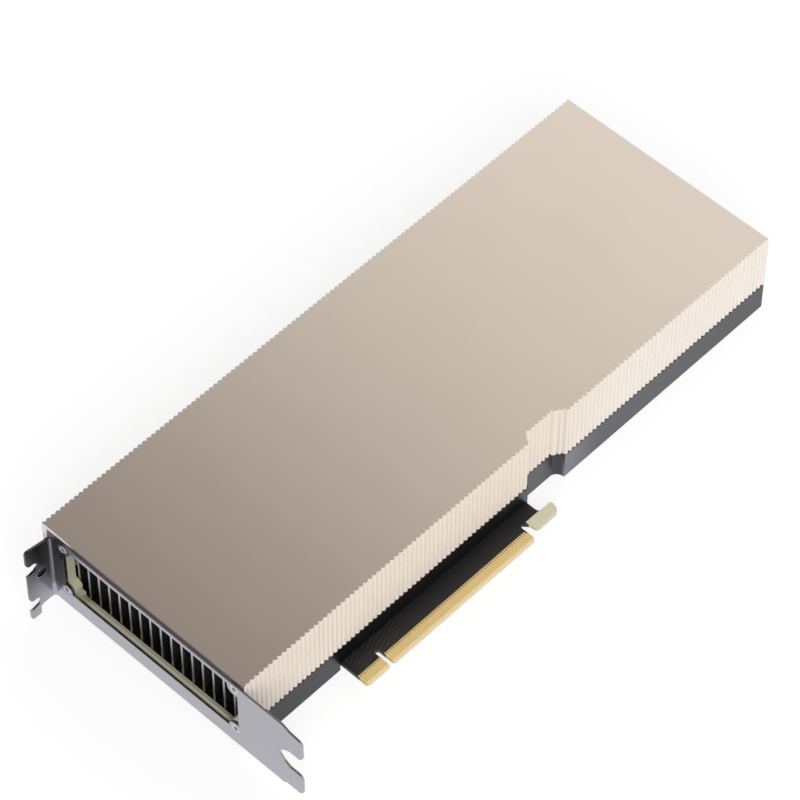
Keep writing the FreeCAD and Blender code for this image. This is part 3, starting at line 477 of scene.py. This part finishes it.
finishes = {
    "champagne_metal": champagne_finish(),
    "frame_metal": frame_finish(),
    "dark_metal": dark_finish(),
    "bracket_steel": steel_finish(),
    "gold": plain_finish("gold", (1.0, 0.81, 0.40), 0.3, metallic=0.85, edge=0.03),
    "nickel": plain_finish("nickel", (0.6, 0.58, 0.54), 0.3),
    "copper": plain_finish("copper", (0.8, 0.45, 0.3), 0.35),
    "fin_aluminium": plain_finish("fin_aluminium", (0.62, 0.62, 0.63), 0.35, edge=0.05),
    "screw_steel": plain_finish("screw_steel", (0.62, 0.62, 0.64), 0.25, edge=0.05),
    "black_screw": plain_finish("black_screw", (0.035, 0.035, 0.035), 0.5, metallic=0.3, edge=0.05),
    "pin": plain_finish("pin", (0.8, 0.77, 0.7), 0.3, edge=0.05),
    "board": board_finish(),
    "package_green": plain_finish("package_green", (0.03, 0.12, 0.06), 0.4, metallic=0.0),
    "silicon": plain_finish("silicon", (0.1, 0.11, 0.13), 0.1, metallic=0.4),
    "compound": plain_finish("compound", (0.5, 0.5, 0.5), 0.6, metallic=0.0),
    "ferrite": plain_finish("ferrite", (0.06, 0.06, 0.06), 0.6, metallic=0.0),
    "pad": plain_finish("pad", (0.3, 0.38, 0.46), 0.7, metallic=0.0),
    "chip": plain_finish("chip", (0.015, 0.015, 0.015), 0.5, metallic=0.0),
    "socket": plain_finish("socket", (0.015, 0.015, 0.015), 0.5, metallic=0.0),
}

for part in frame["record"]["subparts"]:
    cad = bpy.data.objects[part["node"]]
    cad.data.materials.clear()
    cad.data.materials.append(finishes[part["material_slot"]])


# ------------------------------------------------------------------ pieces worked out as surfaces

def add_piece(name, vertices, faces, slot, node_name=None):
    """A finished piece, which may stand for a node: closed, facing outwards, sharp past an angle."""
    mesh = bpy.data.meshes.new(name)
    mesh.from_pydata((np.asarray(vertices) * MM).tolist(), [], faces)
    work = bmesh.new()
    work.from_mesh(mesh)
    bmesh.ops.remove_doubles(work, verts=work.verts, dist=0.0005 * MM)
    bmesh.ops.recalc_face_normals(work, faces=work.faces)
    work.to_mesh(mesh)
    work.free()
    mesh.shade_smooth()
    mesh.set_sharp_from_angle(angle=math.radians(SHARP_ANGLE))
    mesh.materials.append(finishes[slot])
    piece = bpy.data.objects.new(name, mesh)
    bpy.context.scene.collection.objects.link(piece)
    if node_name:
        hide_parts(node_name)
    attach(piece, "root")


def arc(start, middle, end, count=7):
    """Points from start to end on the circle through three points.

    With the points as complex numbers, the centre is the point at the same distance from all
    three; the angle about it then runs evenly from the start's to the end's.
    """
    first, second, third = (complex(*point) for point in (start, middle, end))
    ratio = (third - first) / (second - first)
    centre = (second - first) * (ratio - abs(ratio) ** 2) / (2j * ratio.imag) + first
    spokes = np.unwrap(np.angle(np.array([first, second, third]) - centre))
    angle = np.linspace(spokes[0], spokes[2], count)
    point = centre + abs(first - centre) * np.exp(1j * angle)
    return np.stack([point.real, point.imag], axis=1)


def rib_row(start, end, inward):
    """Half-round ribs side by side on a straight run.

    Rib k spans one pitch. At angle t, from -90 to 90 degrees across the rib, its point lies
    (k + 1/2) pitch + r sin t along the run and depth (1 - cos t) behind it, where r is half of
    what the flat valley leaves of the pitch.
    """
    start, end, inward = (np.array(value, dtype=float) for value in (start, end, inward))
    length = np.hypot(*(end - start))
    count = round(length / RIB_PITCH)
    pitch = length / count
    turn = np.radians(np.linspace(-90, 90, RIB_STEPS))
    along = (np.arange(count)[:, None] + 0.5) * pitch + (pitch - RIB_VALLEY) / 2 * np.sin(turn)
    behind = RIB_DEPTH * (1 - np.cos(turn))
    points = start + along[..., None] * (end - start) / length + behind[:, None] * inward
    return points.reshape(-1, 2)


def recess_end(side, floor):
    """The recess's end wall in plan: a broad flute, then a narrow one round the corner."""
    valley = RECESS_RIBS_END + 0.3
    broad = arc((valley, floor + RIB_DEPTH), (valley + 0.4, floor - 0.5),
                (RECESS_CORNER - 1.5, floor - 1.1))
    narrow = arc((RECESS_CORNER - 1.3, side + 2.3), (RECESS_CORNER - 1.0, side + 1.7),
                 (RECESS_CORNER - 0.5, side + 1.5))
    between = (RECESS_CORNER - 1.2, floor - 0.5)
    corner = (RECESS_CORNER, side + 1.7)
    return np.concatenate([broad, [between], narrow, [corner]])


def shroud_sides():
    """The ribbed long sides in plan: the near one towards +X, then the far one towards -X."""
    front, side, _ = SHROUD_LOW
    back, top_edge, _ = SHROUD_HIGH
    floor = side + RECESS_DEPTH
    row_inset = RIB_LAND + RIB_PITCH / 4
    valley = side + RIB_DEPTH
    recess_start = arc((RECESS_START, valley), (RECESS_START + 1.3, side + 3.0),
                       (RECESS_FLAT, floor + RIB_DEPTH))
    near = [
        [(front, side), (front + RIB_LAND, side)],
        rib_row((front + row_inset, side), (RECESS_START, side), (0, 1)),
        recess_start,
        rib_row((RECESS_FLAT, floor), (RECESS_RIBS_END, floor), (0, 1)),
        recess_end(side, floor),
        rib_row((RECESS_CORNER, side), (back - row_inset, side), (0, 1)),
        [(back - row_inset, valley), (back - RIB_LAND, side), (back, side)],
    ]
    far = [
        [(back, top_edge), (back - RIB_LAND, top_edge)],
        rib_row((back - row_inset, top_edge), (front + row_inset, top_edge), (0, -1)),
        [(front + row_inset, top_edge - RIB_DEPTH), (front + RIB_LAND, top_edge),
         (front, top_edge)],
    ]
    return np.concatenate(near), np.concatenate(far)


def without_repeats(chain):
    """A chain of points without those that fall on the one before."""
    step = np.diff(chain, axis=0, prepend=chain[:1] - 1)
    return chain[np.hypot(step[:, 0], step[:, 1]) > 0.001]


def unit(vectors):
    """Vectors in the plane, each made one long."""
    return vectors / np.maximum(np.hypot(vectors[:, 0], vectors[:, 1]), 1e-9)[:, None]


def drawn_in(outline, distance):
    """A closed outline moved inwards: each point goes along the mean normal of its two edges."""
    edge = unit(np.roll(outline, -1, axis=0) - outline)
    normal = np.stack([-edge[:, 1], edge[:, 0]], axis=1)
    return outline + unit(normal + np.roll(normal, 1, axis=0)) * distance


def stacked(rings):
    """The points of rings in plan, each given with its level: ring after ring."""
    return np.concatenate([np.column_stack([ring, np.full(len(ring), level)])
                           for ring, level in rings])


def band(count, low, high):
    """Quads between two rings of one count, whose first points are numbered low and high."""
    index = np.arange(count)
    after = (index + 1) % count
    return np.stack([index + low, after + low, after + high, index + high], axis=1)


def boss(x, centre, root, way, lip):
    """A post with a half-round front, sunk in the wall at its root; its points and its faces."""
    turn = np.radians(np.linspace(0, 180, 13))
    front = np.stack([x + BOSS_RADIUS * np.cos(turn), centre + way * BOSS_RADIUS * np.sin(turn)],
                     axis=1)
    outline = np.concatenate([[(x + BOSS_RADIUS, root)], front, [(x - BOSS_RADIUS, root)]])
    count = len(outline)
    points = stacked([(outline, lip), (outline, lip + BOSS_HIGH)])
    faces = band(count, 0, count).tolist()
    faces += [list(range(count)), list(range(count, 2 * count))]
    return points, faces


def shroud_piece():
    """A channel open below and at both ends, from rings of its plan at several levels.

    The outline rises from the lip to the bevel's foot and is drawn in to the face. The duct's
    outline, of eight corners, rises from the lip to the deck's underside. Four bosses stand in it.
    """
    front, side, lip = SHROUD_LOW
    back, top_edge, top = SHROUD_HIGH
    near, far = (without_repeats(chain) for chain in shroud_sides())
    outline = np.concatenate([near, far])
    count, first_far = len(outline), len(near)
    wall = side + SIDE_SKIN
    pocket_wall = wall + RECESS_DEPTH
    far_wall = top_edge - SIDE_SKIN
    duct = np.array([
        (front, wall), (RECESS_START - SIDE_SKIN, wall), (RECESS_START - SIDE_SKIN, pocket_wall),
        (RECESS_CORNER + SIDE_SKIN, pocket_wall), (RECESS_CORNER + SIDE_SKIN, wall), (back, wall),
        (back, far_wall), (front, far_wall)])
    vertices = stacked([(outline, lip), (outline, top - TOP_BEVEL),
                        (drawn_in(outline, TOP_BEVEL), top), (duct, lip), (duct, top - TOP_SKIN)])
    foot, deck = 3 * count, 3 * count + len(duct)

    walls = band(count, 0, count)
    open_ends = (first_far - 1, count - 1)
    faces = band(count, count, 2 * count).tolist() + np.delete(walls, open_ends, axis=0).tolist()
    faces += [(foot + n, foot + n + 1, deck + n + 1, deck + n) for n in (0, 1, 2, 3, 4, 6)]
    faces.append(list(range(2 * count, 3 * count)))
    faces.append([deck + n for n in range(len(duct))])
    # the lips under the two sides
    faces.append(list(range(first_far)) + [foot + n for n in (5, 4, 3, 2, 1, 0)])
    faces.append(list(range(first_far, count)) + [foot + 7, foot + 6])
    # the cut ends, at the far end and at the bracket
    faces.append([first_far - 1, first_far - 1 + count, first_far + count, first_far,
                  foot + 6, deck + 6, deck + 5, foot + 5])
    faces.append([count - 1, 2 * count - 1, count, 0, foot, deck, deck + 7, foot + 7])

    sunk = 0.3
    for x in BOSS_COLUMNS:
        for centre, root, way in ((side + BOSS_INSET, wall - sunk, 1),
                                  (top_edge - BOSS_INSET, far_wall + sunk, -1)):
            points, boss_faces = boss(x, centre, root, way, lip)
            faces += [[len(vertices) + corner for corner in face] for face in boss_faces]
            vertices = np.concatenate([vertices, points])
    add_piece("ribbed_shroud", vertices, faces, "champagne_metal", "shroud")


def turned_faces(rows, columns, closed=False):
    """Quads between the rows of a turned surface; closed joins the last row to the first."""
    spans = rows if closed else rows - 1
    row, column = np.divmod(np.arange(spans * columns), columns)
    here = row * columns
    below = (row + 1) % rows * columns
    beside = (column + 1) % columns
    return np.stack([here + column, here + beside, below + beside, below + column], axis=1)


def turned_screw(length, head_high):
    """A countersunk screw with a six-lobed socket, turned about its own axis.

    Rows of (radius, depth, swell) run from the socket's floor over the crown and the shank to
    the tip. At angle t the radius is r (1 + swell cos 6t). The columns are the two directions
    across the axis and the depth along it.
    """
    rows = np.array([
        # the socket's floor and wall
        (0.0, 1.0, 0.0), (0.85, 1.0, 0.14), (0.95, 0.85, 0.14), (1.0, 0.10, 0.14),
        # the crown
        (1.12, 0.0, 0.11), (1.5, -0.07, 0.0), (SCREW_HEAD - 0.4, -0.03, 0.0),
        # the head's wall, a little short of its seat, and the cone
        (SCREW_HEAD - 0.2, 0.06, 0.0), (SCREW_HEAD - 0.2, 0.18, 0.0),
        (SCREW_SHANK, head_high, 0.0),
        # the shank and the tip
        (SCREW_SHANK, length - SCREW_POINT, 0.0), (SCREW_TIP, length, 0.0), (0.0, length, 0.0)])
    turn = np.radians(np.arange(0, 360, TURN_STEP))
    radius = rows[:, :1] * (1 + rows[:, 2:] * np.cos(SCREW_LOBES * turn))
    depth = np.broadcast_to(rows[:, 1:2], radius.shape)
    points = np.stack([radius * np.cos(turn), radius * np.sin(turn), depth], axis=-1)
    return points.reshape(-1, 3), turned_faces(len(rows), len(turn))


def add_screws(name, points, faces, places, slot, node_name):
    """Copies of one screw, each moved to its place, as one piece."""
    set_points = np.concatenate([points + place for place in places])
    set_faces = np.concatenate([faces + n * len(points) for n in range(len(places))])
    add_piece(name, set_points, set_faces.tolist(), slot, node_name)


def screw_pieces():
    """The bracket's screws point along +X and the case's along +Z, each set in one piece."""
    points, faces = turned_screw(SHEET + SCREW_GRIP, SHEET)
    places = [(0, y, z) for y, z in BRACKET_SCREWS]
    along_x = points[:, [2, 0, 1]]
    add_screws("lobed_bracket_screws", along_x, faces, places, "screw_steel", "bracket_screws")
    low, high = node_box("case_screws")
    points, faces = turned_screw(high[2] - low[2], BACK_PLATE)
    places = [(x, y, low[2] + SCREW_SINK) for x in BOSS_COLUMNS
              for y in (SHROUD_LOW[1] + BOSS_INSET, SHROUD_HIGH[1] - BOSS_INSET)]
    add_screws("lobed_case_screws", points, faces, places, "black_screw", "case_screws")


def collar_piece():
    """The collar drawn out behind the tab round its hole: a ring profile turned about Y. It is dark,
    a piece that stands for the shade inside the hole.

    Rows of (radius, Y) go once round the collar's wall; the angle about the hole's axis is even.
    """
    inner, outer = TAB_HOLE_RADIUS, TAB_HOLE_RADIUS + COLLAR_WALL
    foot = TAB_FACE + SHEET
    tip = foot + COLLAR_LENGTH
    bevel = 0.1
    rows = np.array([(inner, foot), (inner, tip - bevel), (inner + bevel, tip),
                     (outer - bevel, tip), (outer, tip - bevel), (outer, foot)])
    turn = np.radians(np.arange(0, 360, TURN_STEP))
    points = np.stack([TAB_HOLE[0] + rows[:, :1] * np.cos(turn),
                       np.broadcast_to(rows[:, 1:], (len(rows), len(turn))),
                       TAB_HOLE[1] + rows[:, :1] * np.sin(turn)], axis=-1)
    faces = turned_faces(len(rows), len(turn), closed=True)
    # The dark screws' finish here is painted shade: the collar darkens the inside of the hole.
    add_piece("tab_hole_shade_collar", points.reshape(-1, 3), faces.tolist(), "black_screw")


shroud_piece()
screw_pieces()
collar_piece()


# ------------------------------------------------------------------ floor, light, camera

def make_floor(level):
    """A pale floor that shows white and still takes the card's soft shadow."""
    reach = 6.0
    glow_strength = 0.78
    mesh = bpy.data.meshes.new("floor")
    mesh.from_pydata([(-reach, -reach, level), (reach, -reach, level), (reach, reach, level),
                      (-reach, reach, level)], [], [(0, 1, 2, 3)])
    floor = bpy.data.objects.new("floor", mesh)
    bpy.context.scene.collection.objects.link(floor)
    material, tree, output = new_material("pale_floor")
    path = tree.nodes.new("ShaderNodeLightPath")
    camera, glossy, through = (Value(tree, path.outputs[label]) for label in (
        "Is Camera Ray", "Is Glossy Ray", "Is Transmission Ray"))
    seen = camera.or_more(glossy).or_more(through)
    glow = node(tree, "Emission", Color=(1.0, 1.0, 1.0), Strength=seen * glow_strength)
    shade = node(tree, "BsdfDiffuse", Color=(0.3, 0.3, 0.3))
    both = tree.nodes.new("ShaderNodeAddShader")
    tree.links.new(glow.outputs[0], both.inputs[0])
    tree.links.new(shade.outputs[0], both.inputs[1])
    tree.links.new(both.outputs[0], output.inputs["Surface"])
    mesh.materials.append(material)


def make_world():
    """A pale studio that itself shows white, with a dim ceiling that is pale towards +X.

    For a direction (x, y, z), the ceiling starts where z is past about a half, and turns from
    dim to pale as x / z grows.
    """
    walls = (0.88, 0.88, 0.89)
    dim = (0.158, 0.134, 0.134)
    pale = (0.93, 0.91, 0.90)
    world = bpy.data.worlds.new("studio")
    world.use_nodes = True
    tree = world.node_tree
    tree.nodes.clear()
    output = tree.nodes.new("ShaderNodeOutputWorld")
    x, _, z = split(tree, node(tree, "TexCoord").outputs["Generated"])
    lean = x / z.or_more(0.05)
    ceiling = blend(rise(lean, 0.40, 0.68), dim, pale)
    tone = blend(rise(z, 0.35, 0.6), walls, ceiling)
    path = tree.nodes.new("ShaderNodeLightPath")
    seen = Value(tree, path.outputs["Is Camera Ray"])
    back = node(tree, "Background", Color=blend(seen, tone, (1.0, 1.0, 1.0)))
    tree.links.new(back.outputs[0], output.inputs["Surface"])
    bpy.context.scene.world = world


def make_lamp():
    """One broad lamp above the bracket's end and the connector's side, kept out of reflections."""
    data = bpy.data.lights.new("soft_lamp", "SUN")
    data.energy = 1.9
    data.angle = math.radians(40)
    lamp = bpy.data.objects.new("soft_lamp", data)
    lamp.visible_glossy = False
    towards_lamp = Vector((-0.45, -0.62, 0.64))
    lamp.rotation_euler = towards_lamp.to_track_quat("Z", "Y").to_euler()
    bpy.context.scene.collection.objects.link(lamp)


def make_camera():
    """A long lens that looks down on the bracket's end from the connector's side."""
    data = bpy.data.cameras.new("camera")
    data.sensor_width = 36.0
    data.lens = 182.83
    data.clip_start = 0.01
    data.clip_end = 50.0
    camera = bpy.data.objects.new("camera", data)
    place = Vector((-0.50234, -0.53526, 1.15523))
    forward = Vector((0.44247, 0.41983, -0.79244)).normalized()
    level = forward.cross(Vector((0, 0, 1))).normalized()
    roll = math.radians(-0.16)
    right = Matrix.Rotation(roll, 3, forward) @ level
    above = right.cross(forward)
    turn = Matrix((right, above, -forward)).transposed().to_4x4()
    camera.matrix_world = Matrix.Translation(place) @ turn
    bpy.context.scene.collection.objects.link(camera)
    bpy.context.scene.camera = camera


make_floor(cad_low.z)
make_world()
make_lamp()
make_camera()
bpy.context.scene.view_settings.view_transform = "Standard"
